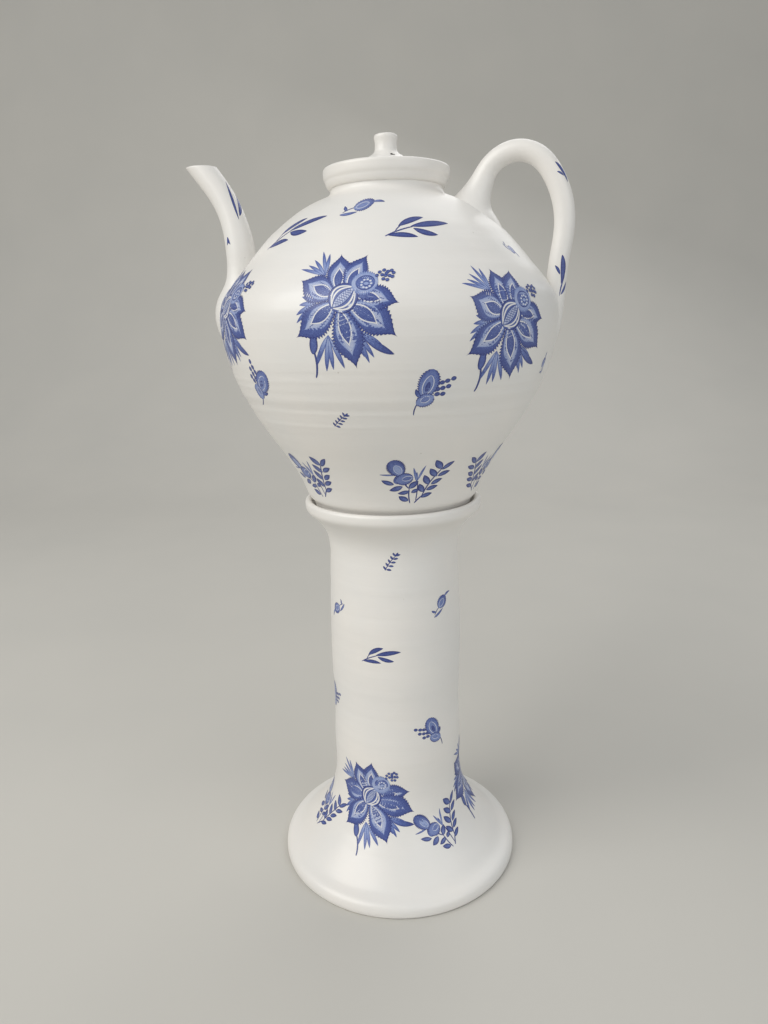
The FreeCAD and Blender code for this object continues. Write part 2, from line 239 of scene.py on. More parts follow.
class Recipe:
    """A material's node tree, with one method that adds any node and wires it up."""

    def __init__(self, name):
        self.material = bpy.data.materials.new(name)
        self.material.use_nodes = True
        self.tree = self.material.node_tree
        self.shader = self.tree.nodes["Principled BSDF"]

    def node(self, kind, settings, *inputs, output=0, **named):
        made = self.tree.nodes.new(kind)
        for key, value in settings.items():
            setattr(made, key, value)
        for place, value in enumerate(inputs):
            self.fill(made.inputs[place], value)
        for key, value in named.items():
            self.fill(made.inputs[key.replace("_", " ")], value)
        return Socket(self, made.outputs[output])

    def fill(self, target, value):
        if isinstance(value, Socket):
            self.tree.links.new(value.output, target)
        else:
            target.default_value = value

    def blend(self, share, first, second):
        """A colour between two, by a share from 0 to 1."""
        made = self.tree.nodes.new("ShaderNodeMix")
        made.data_type = "RGBA"
        for place, value in ((0, share), (6, first), (7, second)):
            self.fill(made.inputs[place], value)
        return Socket(self, made.outputs[2])

    def set(self, **values):
        for key, value in values.items():
            self.fill(self.shader.inputs[key.replace("_", " ")], value)


def paint(red, green, blue):
    """A colour given as 0 to 255 on a screen, as the linear colour that a shader takes."""
    screen = np.array([red, green, blue]) / 255
    linear = np.where(screen <= 0.04045, screen / 12.92, ((screen + 0.055) / 1.055) ** 2.4)
    return (*linear.tolist(), 1.0)


WARM_WHITE = paint(239, 235, 229)
COOL_WHITE = paint(231, 230, 227)
IRON_SPECK = paint(150, 138, 120)


def glaze_ground(recipe):
    """The white ground: warm where the glaze is thick, cooler where thin, with rare iron specks."""
    place = recipe.node("ShaderNodeTexCoord", {}, output=3)
    cloud = recipe.node("ShaderNodeTexNoise", {}, place, Scale=9.0, Detail=3.0)
    ground = recipe.blend(((cloud - 0.3) * 2.2).limited(), WARM_WHITE, COOL_WHITE)
    cells = recipe.node("ShaderNodeTexVoronoi", {}, place, Scale=85.0)
    chosen = recipe.node("ShaderNodeTexNoise", {}, place, Scale=21.0).above(0.66)
    speck = (1.0 - cells * 11.0).limited() * chosen * 0.55
    return place, recipe.blend(speck, ground, IRON_SPECK)


def glaze_finish(recipe, place):
    """Gloss that pools and thins a little, over the fine ripple of a dipped glaze."""
    pool = recipe.node("ShaderNodeTexNoise", {}, place, Scale=34.0, Detail=2.0)
    recipe.set(Roughness=0.30 + pool * 0.12)
    stretch = recipe.node("ShaderNodeMapping", {}, place, Scale=(14.0, 14.0, 260.0))
    throwing = recipe.node("ShaderNodeTexNoise", {}, stretch, Scale=1.0, Detail=2.0)
    ripple = recipe.node("ShaderNodeTexNoise", {}, place, Scale=120.0, Detail=2.0)
    relief = throwing * 0.7 + ripple * 0.3
    bump = recipe.node("ShaderNodeBump", {}, Strength=0.35, Distance=0.0006, Height=relief)
    recipe.set(Normal=bump)
    recipe.set(IOR=1.5, Coat_Weight=0.15, Coat_Roughness=0.22)


def white_glaze():
    """The plain glaze of every clay piece."""
    recipe = Recipe("white_glaze")
    place, colour = glaze_ground(recipe)
    recipe.set(Base_Color=colour)
    glaze_finish(recipe, place)
    return recipe.material


glaze = white_glaze()

pedestal_bore = column_radius - 0.009
pedestal_outline = joined(
    straight_run((foot_radius - 0.012, 0.0), (foot_radius - 0.003, 0.0), 3),
    round_run((foot_radius - 0.003, 0.003), 0.0029, -90, -5, 5),
    smooth_run(
        widened(foot_radius, [
            (-0.0002, 0.0035), (-0.0008, 0.009), (-0.0032, 0.0135), (-0.0085, 0.0167), (-0.0165, 0.0205),
            (-0.026, 0.0285), (-0.0383, 0.041), (-0.050, 0.0555), (-0.0605, 0.073), (-0.067, 0.093)])
        + widened(column_radius, [
            (0, 0.116), (0.0004, 0.150), (-0.0012, 0.200), (0.0002, 0.258), (0.0003, 0.318),
            (-0.0014, 0.370), (-0.0023, 0.400), (-0.0012, 0.415), (0.0021, 0.426), (0.008, 0.4358),
            (0.0155, 0.4443)])
        + widened(cup_radius, [
            (-0.0034, 0.4495), (-0.0012, 0.4525), (-0.0003, 0.457), (-0.0003, cup_rim - 0.0042)]),
        230,
    ),
    round_run((cup_radius - 0.00425, cup_rim - 0.0042), 0.0040, 0, 180, 14),
    straight_run((cup_radius - 0.00825, cup_rim - 0.0044), (cup_radius - 0.0083, cup_rim - 0.008), 4),
    round_run((cup_radius - 0.0183, cup_rim - 0.0062), 0.0098, 0, -90, 9),
    straight_run((cup_radius - 0.0183, cup_rim - 0.01605), (0.0, cup_rim - 0.01605), 8),
)
pedestal_inside = joined(
    straight_run((0.0, cup_rim - 0.024), (pedestal_bore - 0.006, cup_rim - 0.024), 6),
    round_run((pedestal_bore - 0.006, cup_rim - 0.029), 0.005, 90, 0, 6),
    straight_run((pedestal_bore - 0.001, cup_rim - 0.030), (pedestal_bore, 0.120), 20),
    smooth_run([(pedestal_bore, 0.120), (foot_radius - 0.059, 0.058), (foot_radius - 0.035, 0.024),
                (foot_radius - 0.0235, 0.011), (foot_radius - 0.0225, 0.0)], 30),
    straight_run((foot_radius - 0.0225, 0.0), (foot_radius - 0.012, 0.0), 4),
)
foot_rings = [(0.320, 0.016, 0.0007, 0.4), (0.250, 0.020, 0.0006, 2.0), (0.185, 0.018, 0.0005, 3.9),
              (0.380, 0.014, 0.0005, 5.1), (0.075, 0.0040, 0.0003, 1.0), (0.098, 0.0045, 0.0003, 3.3)]
pedestal_surface = Turned(pedestal_outline, 0.00006, 0.0003, 0.03, 0.41, foot_rings)


def closed_shell(name, surface, inside, around, body, nodes):
    """Rings up the outside and down the inside of a hollow foot.

    One point closes each where it meets the axis, and quads join them under the foot.
    """
    turn = np.linspace(0, 2 * np.pi, around, endpoint=False)
    outside_rings = surface.at(turn[None, :], surface.along[:-1, None])
    hollow = Turned(inside, 0.0, 0.0)
    inside_rings = hollow.at(turn[None, :], hollow.along[1:-1, None])
    outer = len(outside_rings)
    inner = len(inside_rings)
    poles = np.array([[0, 0, surface.outline[-1, 1]], [0, 0, inside[0, 1]]])
    points = np.vstack([outside_rings.reshape(-1, 3), inside_rings.reshape(-1, 3), poles])
    outer_quads = grid_faces(outer, around, True)
    inner_quads = grid_faces(inner, around, True) + outer * around
    column = np.arange(around)
    following = (column + 1) % around
    last = (outer + inner - 1) * around
    bridge = np.column_stack([last + column, last + following, following, column])
    top = (outer - 1) * around
    pole = (outer + inner) * around
    crown = np.column_stack([top + column, top + following, np.full(around, pole)])
    first = outer * around
    ceiling = np.column_stack([first + following, first + column, np.full(around, pole + 1)])
    faces = outer_quads.tolist() + inner_quads.tolist() + bridge.tolist() + crown.tolist() + ceiling.tolist()
    return add_piece(name, points, faces, body, nodes)


pedestal = closed_shell(
    "pedestal_glazed", pedestal_surface, pedestal_inside, 240, "pedestal",
    ["pedestal_foot", "pedestal_column_lower", "pedestal_column_upper", "pedestal_cup"],
)
pedestal.data.materials.append(glaze)

# ---------------------------------------------------------------------------
# The pot.  Bowl, belly and shoulder and the collar round the mouth, thrown in
# parts and luted; the join below the belly still shows as a low ridge.

bowl_low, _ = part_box("body_lower")
_, belly_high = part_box("body_upper")
_, collar_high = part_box("neck_collar")
seat = bowl_low.z
belly_radius = belly_high.y
neck = belly_high.z
collar_top = collar_high.z
collar_radius = collar_high.y


def raised(base, knots):
    """Knots whose heights are counted from a base height, as (radius, height)."""
    return [(radius, base + rise) for radius, rise in knots]


pot_outline = joined(
    straight_run((0.0, seat + 0.004), (0.068, seat + 0.004), 5),
    straight_run((0.068, seat + 0.004), (0.0695, seat), 3),
    straight_run((0.0695, seat), (0.080, seat), 3),
    smooth_run(
        raised(seat, [
            (0.080, 0), (0.0858, 0.0028), (0.0900, 0.008), (0.0924, 0.0155), (0.0964, 0.0205),
            (0.1010, 0.030), (0.1085, 0.047), (0.1200, 0.067), (0.1405, 0.097), (0.1580, 0.1265),
            (0.1720, 0.157), (0.1808, 0.187), (belly_radius - 0.0006, 0.213), (0.1812, 0.2345),
            (0.1725, 0.249), (0.1575, 0.267), (0.1315, 0.2965), (0.1035, 0.3205), (0.0785, 0.3353),
            (0.0706, 0.3386), (0.0640, 0.3418)])
        + raised(neck, [(0.0606, 0.0003), (0.0599, 0.0036)]),
        236,
    ),
    straight_run((0.0599, neck + 0.0036), (0.0598, neck + 0.0046), 3),
    smooth_run(
        raised(neck, [(0.0598, 0.0046), (0.0619, 0.0052), (0.0637, 0.0074), (0.0649, 0.0106),
                      (0.0652, 0.0118), (0.0662, 0.0136), (0.0672, 0.0180)])
        + [(collar_radius - 0.0006, collar_top - 0.0035)],
        30,
    ),
    round_run((collar_radius - 0.0036, collar_top - 0.0032), 0.0031, 5, 172, 12),
    straight_run((collar_radius - 0.0067, collar_top - 0.004), (collar_radius - 0.0067, neck + 0.0105), 6),
    straight_run((collar_radius - 0.0067, neck + 0.0105), (0.0505, neck + 0.0105), 4),
    straight_run((0.0505, neck + 0.0105), (0.0502, neck - 0.006), 5),
    smooth_run(
        [(0.0502, neck - 0.006)]
        + raised(seat, [
            (0.0720, 0.329), (0.1235, 0.291), (0.1500, 0.263), (0.1700, 0.237),
            (belly_radius - 0.0075, 0.213), (0.1640, 0.155), (0.1330, 0.100), (0.1000, 0.050),
            (0.0800, 0.021), (0.0620, 0.0115)]),
        60,
    ),
    straight_run((0.0620, seat + 0.0115), (0.0, seat + 0.0115), 5),
)
join_height = seat + 0.142
ridge = 0.0005 * np.exp(-(((pot_outline[:, 1] - join_height) / 0.004) ** 2))
ridge = ridge - 0.0004 * np.exp(-(((pot_outline[:, 1] - join_height + 0.009) / 0.004) ** 2))
outside = pot_outline[:, 0] > 0.155
pot_outline[:, 0] += np.where(outside, ridge, 0)
join_rings = [(seat + 0.116, 0.0016, 0.0003, 0.3), (seat + 0.123, 0.0012, -0.0003, 1.9),
              (seat + 0.129, 0.0013, 0.0003, 3.1), (seat + 0.152, 0.0013, 0.0003, 4.4),
              (seat + 0.160, 0.0014, 0.00025, 0.9), (seat + 0.170, 0.0018, 0.0002, 2.6),
              (seat + 0.060, 0.0060, 0.0004, 5.2), (seat + 0.300, 0.0080, 0.0004, 1.1)]
pot_surface = Turned(pot_outline, 0.00006, 0.00025, seat + 0.030, neck - 0.010, join_rings)
pot = closed_turned("pot_glazed", pot_surface, 276, "teapot", ["body_lower", "body_upper", "neck_collar"])
pot.data.materials.append(glaze)

# ---------------------------------------------------------------------------
# The lid.  A loose domed disc with a ring below that drops into the mouth, a
# steam hole and a little mushroom knob stuck on with slip.

lid_low, lid_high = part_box("lid")
flange_low, flange_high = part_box("lid_flange")
_, knob_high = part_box("lid_knob")
lid_radius = lid_high.y
ledge = lid_low.z
crown = lid_high.z
flange_radius = flange_high.y

lid_outline = joined(
    smooth_run([(0.0, crown - 0.0065), (0.020, crown - 0.0085), (0.0405, ledge + 0.004)], 16),
    straight_run((0.0405, ledge + 0.004), (flange_radius - 0.0055, flange_low.z + 0.001), 6),
    round_run((flange_radius - 0.00275, flange_low.z + 0.0028), 0.0027, 185, 355, 8),
    straight_run((flange_radius - 0.0001, flange_low.z + 0.003),
                 (flange_radius - 0.0001, ledge + 0.0003), 5),
    straight_run((flange_radius, ledge + 0.0002), (lid_radius - 0.002, ledge + 0.0002), 4),
    round_run((lid_radius - 0.0032, ledge + 0.0034), 0.0031, -85, 60, 8),
    smooth_run(
        raised(ledge, [
            (lid_radius - 0.0016, 0.0061), (0.050, 0.0112), (0.038, 0.0172), (0.027, 0.0218),
            (0.0225, 0.0236), (0.0180, 0.0260), (0.0145, 0.0282), (0.0123, 0.0308), (0.0117, 0.0335),
            (0.0115, 0.0370), (0.0118, 0.0410), (0.0123, 0.0440), (0.0119, 0.0463), (0.0098, 0.0474)])
        + [(0.0060, knob_high.z - 0.0004), (0.0, knob_high.z - 0.0002)],
        150,
    ),
)
lid_surface = Turned(lid_outline, 0.0, 0.00012, ledge + 0.008, crown)
lid = closed_turned("lid_glazed", lid_surface, 260, "lid", ["lid", "lid_flange", "lid_knob"])


def press_hole(piece, centre, radius, depth, above):
    """Sink the mesh round a place on the plan, where it is above a height, and give the pit slot 1, whose
    material is painted shade.
    """
    mesh = piece.data
    points = np.empty(len(mesh.vertices) * 3, np.float32)
    mesh.vertices.foreach_get("co", points)
    points = points.reshape(-1, 3)
    away = np.hypot(points[:, 0] - centre[0], points[:, 1] - centre[1])
    share = np.clip((radius + 0.0003 - away) / 0.0006, 0, 1) * (points[:, 2] > above)
    points[:, 2] -= (depth * share).astype(np.float32)
    mesh.vertices.foreach_set("co", points.reshape(-1))
    middles = np.empty(len(mesh.polygons) * 3, np.float32)
    mesh.polygons.foreach_get("center", middles)
    middles = middles.reshape(-1, 3)
    inside = np.hypot(middles[:, 0] - centre[0], middles[:, 1] - centre[1]) < radius + 0.0004
    mesh.polygons.foreach_set("material_index", (inside & (middles[:, 2] > above)).astype(np.int32))
    mesh.update()


vent_turn = math.radians(-57)
vent_reach = 0.0205
vent_radius = 0.0020
vent_depth = 0.0040
vent_place = (vent_reach * math.cos(vent_turn), vent_reach * math.sin(vent_turn))
press_hole(lid, vent_place, vent_radius, vent_depth, ledge + 0.012)
# Painted shade: the shallow pit is coloured near black to stand in for the dark inside of a hole through the
# lid.
hole_painted_shade = Recipe("steam_hole_painted_shade")
hole_painted_shade.set(Base_Color=paint(38, 34, 30), Roughness=0.9)
lid.data.materials.append(glaze)
lid.data.materials.append(hole_painted_shade.material)

# ---------------------------------------------------------------------------
# The spout.  A cast, curving tube with a swollen root, cut level at its tip and
# luted over the strainer holes, its seam wiped round with slip.

_, spout_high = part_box("spout")
tip_height = spout_high.z
belly_rise = seat + 0.217


class Tube:
    """A round bar or tube whose centre line lies in the plane of the spout and handle.

    A point is the centre line's point, plus the radius times the cosine of the turn along the line's
    normal, plus the radius times its sine along Y.
    """

    right = -1

    def __init__(self, stations, count):
        run = smooth_run(stations, count)
        self.centre = run[:, :2]
        self.radius = run[:, 2]
        way = np.gradient(self.centre, axis=0)
        way /= np.hypot(*way.T)[:, None]
        self.normal = np.column_stack([way[:, 1], -way[:, 0]])
        steps = np.hypot(*np.diff(self.centre, axis=0).T)
        self.along = np.concatenate([[0.0], np.cumsum(steps)])

    def at(self, turn, along, lift=0.0):
        """Points on the bar, moved away from its centre line by the lift."""
        centre_x = np.interp(along, self.along, self.centre[:, 0])
        centre_z = np.interp(along, self.along, self.centre[:, 1])
        radius = np.interp(along, self.along, self.radius) + lift
        normal_x = np.interp(along, self.along, self.normal[:, 0])
        normal_z = np.interp(along, self.along, self.normal[:, 1])
        out = radius * np.cos(turn)
        side = radius * np.sin(turn) + 0 * along
        return np.stack([centre_x + out * normal_x, side, centre_z + out * normal_z], axis=-1)

    def radius_at(self, along):
        """The bar's radius at a distance along it."""
        return np.interp(along, self.along, self.radius)


# Each centre's distance out from the belly, its height above the belly, and the radius.
spout_shape = [
    (-0.0400, 0.000, 0.0500),
    (-0.0195, 0.009, 0.0450),
    (-0.0115, 0.023, 0.0340),
    (-0.0105, 0.037, 0.0225),
    (-0.0112, 0.053, 0.0175),
    (-0.0110, 0.078, 0.0166),
    (-0.0070, 0.103, 0.0152),
    (0.0057, 0.135, 0.0140),
    (0.0240, 0.161, 0.0141),
    (0.0440, 0.187, 0.0141),
]
spout_stations = [(-(belly_radius + out), belly_rise + rise, radius) for out, rise, radius in spout_shape]

spout_tube = Tube(spout_stations, 120)


def cut_level(tube, turn, lift, level):
    """How far along the tube each line of its surface first reaches a height."""
    along = np.linspace(0.6 * tube.along[-1], tube.along[-1], 300)
    height = tube.at(turn[None, :], along[:, None], lift)[..., 2]
    first = np.argmax(height >= level, axis=0)
    column = np.arange(len(turn))
    below, above = height[first - 1, column], height[first, column]
    return along[first - 1] + (level - below) / (above - below) * (along[1] - along[0])


def spout_mesh():
    """Rings up the outside and back down the bore, each line ending at the level cut, closed at the root."""
    around = 96
    lip_lift = -0.0021
    bore_lift = -0.0042
    turn = np.linspace(0, 2 * np.pi, around, endpoint=False)
    share = np.linspace(0, 1, 130)[:, None]
    outer_end = cut_level(spout_tube, turn, 0.0, tip_height - 0.0010)
    lip_end = cut_level(spout_tube, turn, lip_lift, tip_height - 0.0002)
    inner_end = cut_level(spout_tube, turn, bore_lift, tip_height - 0.0010)
    outer = spout_tube.at(turn[None, :] + 0 * share, share * outer_end[None, :])
    lip = spout_tube.at(turn, lip_end, lip_lift)[None, ...]
    inner = spout_tube.at(turn[None, :] + 0 * share, share[::-1] * inner_end[None, :], bore_lift)
    rings = np.concatenate([outer, lip, inner])
    rows = len(rings)
    quads = grid_faces(rows, around, True)
    column = np.arange(around)
    following = (column + 1) % around
    last = (rows - 1) * around
    bridge = np.column_stack([last + column, last + following, following, column])
    return rings.reshape(-1, 3), np.vstack([quads, bridge])[:, ::-1].tolist()


spout_points, spout_faces = spout_mesh()
spout = add_piece("spout_glazed", spout_points, spout_faces, "teapot", ["spout"])
spout.data.materials.append(glaze)

# ---------------------------------------------------------------------------
# The handle.  A round bar of clay, pressed to the shoulder, looped over and
# drawn down the belly, where its tail sinks into the wall.

# The same three measures, from the shoulder over the top and down to the tail.
handle_shape = [
    (-0.0985, 0.088, 0.0440),
    (-0.0960, 0.0985, 0.0340),
    (-0.0935, 0.109, 0.0245),
    (-0.0895, 0.120, 0.0170),
    (-0.083, 0.134, 0.0122),
    (-0.076, 0.1465, 0.0106),
    (-0.062, 0.1575, 0.0105),
    (-0.047, 0.161, 0.0105),
    (-0.026, 0.154, 0.0105),
    (-0.0105, 0.135, 0.0105),
    (0.0, 0.1065, 0.0106),
    (0.0015, 0.086, 0.0104),
    (-0.003, 0.051, 0.0102),
    (-0.005, 0.025, 0.0102),
    (-0.0072, 0.0, 0.0100),
    (-0.0115, -0.025, 0.0090),
    (-0.020, -0.048, 0.0070),
]
handle_stations = [(belly_radius + out, belly_rise + rise, radius) for out, rise, radius in handle_shape]
handle_bar = Tube(handle_stations, 170)


def capped_tube(tube, around):
    """Rings along a solid bar with one point closing each end."""
    turn = np.linspace(0, 2 * np.pi, around, endpoint=False)
    rings = tube.at(turn[None, :], tube.along[:, None])
    rows = len(rings)
    ends = np.stack([rings[0].mean(axis=0), rings[-1].mean(axis=0)])
    points = np.vstack([rings.reshape(-1, 3), ends])
    column = np.arange(around)
    following = (column + 1) % around
    first = np.column_stack([following, column, np.full(around, rows * around)])
    top = (rows - 1) * around
    last = np.column_stack([top + column, top + following, np.full(around, rows * around + 1)])
    quads = grid_faces(rows, around, True)
    return points, [face[::-1] for face in quads.tolist() + first.tolist() + last.tolist()]


handle_points, handle_faces = capped_tube(handle_bar, 72)
handle = add_piece("handle_glazed", handle_points, handle_faces, "teapot", ["handle"])
handle.data.materials.append(glaze)

# ---------------------------------------------------------------------------
# The blue prints.  Flowers, buds, sprigs and garlands, transfers fired on to the
# glaze: films that follow the clay, each leaf a few microns above the last.


class Drawing:
    """A flat motif in millimetres: leaves laid over each other, each a little higher than the last.

    A leaf is a grid.  Its rows follow a bent line from start to end, and its columns run from edge to
    edge across it.  Half its width is width / 2 * (4 q (1 - q)) ** blunt, where q is the share of the
    way along, raised to a power that puts the widest place at the peak.  The exponent runs from blunt
    at the start to point at the tip.  Film is the first leaf's height above the glaze, and step what
    each later one adds, in millimetres.
    """

    film = 0.06
    step = 0.004

    def __init__(self):
        self.leaves = []

    def leaf(self, start, end, width, bend=0.0, peak=0.5, blunt=0.8, edge=1.0, fill=0.6, tip=None,
             hatch=0.0, rim=0.7, teeth=0, rows=17, point=None):
        """Add a leaf.  Peak is the share of the way at which it is widest.  Ink goes from 0 to 1: edge is
        the rim's, fill the inside's at the start and tip the inside's at the end.  Hatch is the strength
        of the fine lines inside, rim the dark edge's width and teeth the number of notches."""
        share = 0.5 - 0.5 * np.cos(np.linspace(0, np.pi, rows))
        if teeth:
            share = np.linspace(0, 1, 2 * teeth + 1)
        share = share[:, None]
        start, end = np.array(start, float), np.array(end, float)
        way = end - start
        length = np.hypot(*way)
        left = np.array([-way[1], way[0]]) / length
        middle = (start + end) / 2 + left * bend * 2
        line = (1 - share) ** 2 * start + 2 * share * (1 - share) * middle + share**2 * end
        heading = 2 * (1 - share) * (middle - start) + 2 * share * (end - middle)
        across = np.column_stack([-heading[:, 1], heading[:, 0]]) / np.hypot(*heading.T)[:, None]
        moved = share ** (math.log(0.5) / math.log(peak))
        sharpness = blunt + ((blunt if point is None else point) - blunt) * share
        half = width / 2 * np.clip(4 * moved * (1 - moved), 0, None) ** sharpness
        if teeth:
            half = half * (1 + 0.10 * np.where(np.arange(len(share)) % 2, 1, -1))[:, None]
        band = np.minimum(rim, half * 0.98)
        soft = np.minimum(rim + 0.25, half * 0.99)
        inside = half - soft
        offsets = np.hstack([-half, -(half - band), -inside, -inside * 0.5, 0 * half,
                             inside * 0.5, inside, half - band, half])
        points = line[:, None, :] + offsets[..., None] * across[:, None, :]
        tip = fill if tip is None else tip
        body = fill + (tip - fill) * share
        rim_ink = edge + 0 * share
        light = body - 0.10
        ink = np.hstack([rim_ink, rim_ink, body, light, light, light, body, rim_ink, rim_ink])
        lines = hatch * np.hstack([0 * share, 0 * share, share * 0 + 1, share * 0 + 1, share * 0 + 1,
                                   share * 0 + 1, share * 0 + 1, 0 * share, 0 * share])
        uv = np.stack([offsets / 10, share * length / 10 + 0 * offsets], axis=-1)
        self.leaves.append((points, ink, lines, uv))

    def dot(self, centre, radius, ink=0.95, core=None):
        """Add a round leaf."""
        x, y = centre
        core = ink if core is None else core
        self.leaf((x - radius, y), (x + radius, y), radius * 2, 0, 0.5, 0.5, ink, core, None, 0, 0.5, rows=7)

    def stem(self, start, end, width=1.0, bend=0.0, ink=0.95):
        """Add a thin leaf of nearly even width."""
        self.leaf(start, end, width, bend=bend, blunt=0.18, edge=ink, fill=ink, rim=0.3, rows=9)

    def petal(self, base, tip, width, bend=0.0):
        """A toothed petal, dark at its rim, with a pale loop and a hatched dark heart."""
        base, tip = np.array(base, float), np.array(tip, float)
        way = tip - base
        loop, heart = base + way * 0.78, base + way * 0.62
        self.leaf(base, tip, width * 1.20, bend, 0.5, 0.6, 0.98, 0.60, 0.88, 0.5, 0.8, teeth=19, point=2.2)
        self.leaf(base + way * 0.02, loop, width * 0.78, bend * 0.8,
                  0.5, 0.7, 0.42, 0.22, 0.30, 0.6, 0.5, point=1.8)
        self.leaf(base + way * 0.03, heart, width * 0.50, bend * 0.6,
                  0.5, 0.8, 0.04, 0.66, 0.80, 0.8, 1.0, point=1.5)

    def placed(self, surface, turn, along, spin=0.0, scale=1.0, flip=False, tall=1.0):
        """The leaves carried on to a surface, as (points, ink, hatch, uv) grids in metres.

        Across becomes turn times the local radius, up becomes distance along the outline, stretched by
        tall where the transfer was laid on a slope.
        """
        spin = math.radians(spin)
        result = []
        for number, (points, ink, lines, uv) in enumerate(self.leaves):
            across = points[..., 0] * (-1 if flip else 1) * scale
            up = points[..., 1] * scale
            right = (across * math.cos(spin) - up * math.sin(spin)) * 0.001
            rise = (across * math.sin(spin) + up * math.cos(spin)) * 0.001 * tall
            distance = along + rise
            turns = turn + surface.right * right / surface.radius_at(distance)
            height = (self.film + self.step * number) * 0.001
            grid = surface.at(turns, distance, height)
            result.append((grid[:, ::-1] if flip else grid, ink, lines, uv))
        return result


def tuft(drawing, base, tips, width):
    """Thin pale blades fanned from one place, each dark at its end."""
    for tip in tips:
        lean = (tip[0] - base[0]) * 0.04
        drawing.leaf(base, tip, width * 0.82, lean, 0.55, 0.9, 0.70, 0.20, 0.9, 0.3, 0.4)


def flower():
    """The big flower: tufts behind, seven toothed petals, a striped ball, a bud and berries."""
    drawing = Drawing()
    tuft(drawing, (-19, 21), [(-45, 30), (-38, 34), (-33, 40), (-26, 49), (-19, 46)], 4.2)
    tuft(drawing, (-24, -5), [(-38.5, 1.5), (-41, -5.5), (-44, -13.5), (-44, -20)], 4.6)
    tuft(drawing, (-14, -30), [(-28.5, -57), (-25.5, -51), (-18.5, -61), (-12, -59.5), (-1.5, -58.5)], 5.4)
    tuft(drawing, (10, -27), [(17, -49), (21, -54), (25.5, -49.5), (34, -40)], 5.0)
    drawing.leaf((12, -26), (43, -47), 6.5, -2.0, 0.6, 0.8, 0.95, 0.55, 0.95, 0.3, 0.5)
    drawing.stem((-29.5, -42), (-30, -67), 2.0, 2.4)
    drawing.leaf((-28.5, -30), (-30, -46), 8.0, 0.6, 0.5, 0.55, 0.98, 0.78, 0.8, 0.2, 0.8)
    drawing.petal((-6, 5), (-8, 45.5), 19.5, -0.6)
    drawing.petal((3, 7), (16, 43.5), 17.5, 1.4)
    drawing.petal((9, 1), (49, -6), 18.5, 1.8)
    drawing.petal((-8, 2), (-42.5, 18), 23.0, 0.8)
    drawing.petal((4, -6), (46.5, -33), 23.0, 2.6)
    drawing.petal((-7, -4), (-45.5, -32), 22.0, 1.6)
    drawing.petal((-3, -9), (9.5, -59), 23.0, 0.8)
    ball_bud(drawing)
    curled_bud(drawing, (17.5, 13.0))
    berries = [(27, 20), (29, 23.5), (32.5, 25.5), (36, 24), (39, 25), (41, 22.5), (31.5, 20.5),
               (34.5, 19.8), (38, 19.5), (40.5, 18.5), (33, 16.2), (36.5, 15.2), (35, 22)]
    for berry in berries:
        drawing.dot(berry, 1.7, 0.98, 0.80)
    return drawing


def ball_bud(drawing):
    """The striped ball in the flower's middle, its stripes bowed about a cross-hatched lens."""
    axis = np.array([math.cos(math.radians(42)), math.sin(math.radians(42))])
    side = np.array([-axis[1], axis[0]])
    drawing.leaf(-13.5 * axis, 13.5 * axis, 26.5, 0, 0.5, 0.5, 0.98, 0.80, None, 0.0, 0.9, rows=25)
    for bow in (-9.6, -6.6, 6.6, 9.6):
        start, end = side * bow * 0.1 - 12.4 * axis, side * bow * 0.1 + 12.4 * axis
        drawing.leaf(start, end, 1.6, bow, 0.5, 0.45, 0.05, 0.05, None, 0.0, 0.3, rows=21)
    drawing.leaf(-12.4 * axis, 12.4 * axis, 9.0, 0, 0.5, 0.75, 0.95, 0.30, None, 0.0, 0.6, rows=21)
    for place in np.linspace(-8, 8, 8):
        reach = 3.6 * (1 - (place / 12.4) ** 2)
        centre = axis * place
        drawing.stem(centre - side * reach - axis * 2, centre + side * reach + axis * 2, 0.55, 0, 0.75)
        drawing.stem(centre - side * reach + axis * 2, centre + side * reach - axis * 2, 0.55, 0, 0.75)


def curled_bud(drawing, centre):
    """A round bud: a pale scalloped ring, a dark disc and a rosette of light dots."""
    centre = np.array(centre)
    reach = np.array([11.5, 0.0])
    drawing.leaf(centre - reach, centre + reach, 23, 0, 0.5, 0.5, 0.62, 0.36, None, 0.4, 0.6, teeth=13)
    drawing.leaf(centre - reach * 0.68, centre + reach * 0.78, 15,
                 0, 0.5, 0.5, 0.9, 0.72, None, 0.4, 0.5, rows=21)
    heart = centre + np.array([1.5, -1.0])
    for turn in np.radians(np.arange(0, 360, 40)):
        drawing.dot(heart + 4.2 * np.array([math.cos(turn), math.sin(turn)]), 1.2, 0.30, 0.10)
    drawing.dot(heart, 2.4, 0.95, 0.45)


def leaf_sprig():
    """A forked stem with four blades."""
    drawing = Drawing()
    drawing.stem((0, 0), (20, 10), 1.2, 0.9)
    drawing.stem((7, 5), (12, 12), 0.9, 0.4)
    blades = [((9, 9.5), (27, 19.5), 5.4, 1.6), ((18, 10), (47, 15), 5.6, 1.0),
              ((20, 8.6), (39, 3.6), 4.8, -1.0), ((2, 1), (24, 0.8), 4.4, 1.2)]
    for base, tip, width, bend in blades:
        drawing.leaf(base, tip, width, bend, 0.5, 0.85, 1.0, 0.88, 0.96, 0.15, 0.5)
    return drawing


def bud_sprig():
    """A small closed bud on a bent stem."""
    drawing = Drawing()
    drawing.stem((2, 1), (14, 7), 1.1, 1.0)
    drawing.leaf((0, -1), (17, 1.5), 3.2, -0.8, 0.45, 0.8, 0.9, 0.55, 0.8, 0.3, 0.4)
    drawing.leaf((6, 3), (0.5, 9), 3.0, 0.6, 0.5, 0.8, 0.95, 0.6, 0.9, 0.2, 0.4)
    drawing.leaf((11.5, 5), (28, 13), 15.0, 0.8, 0.5, 0.6, 0.98, 0.45, 0.80, 0.5, 0.9, teeth=10)
    drawing.leaf((13, 6.2), (24, 11.4), 7.6, 0.4, 0.5, 0.7, 0.12, 0.58, None, 0.5, 0.7)
    drawing.leaf((26, 13), (38, 12), 3.0, 1.2, 0.4, 0.8, 0.9, 0.5, 0.95, 0.2, 0.4)
    return drawing


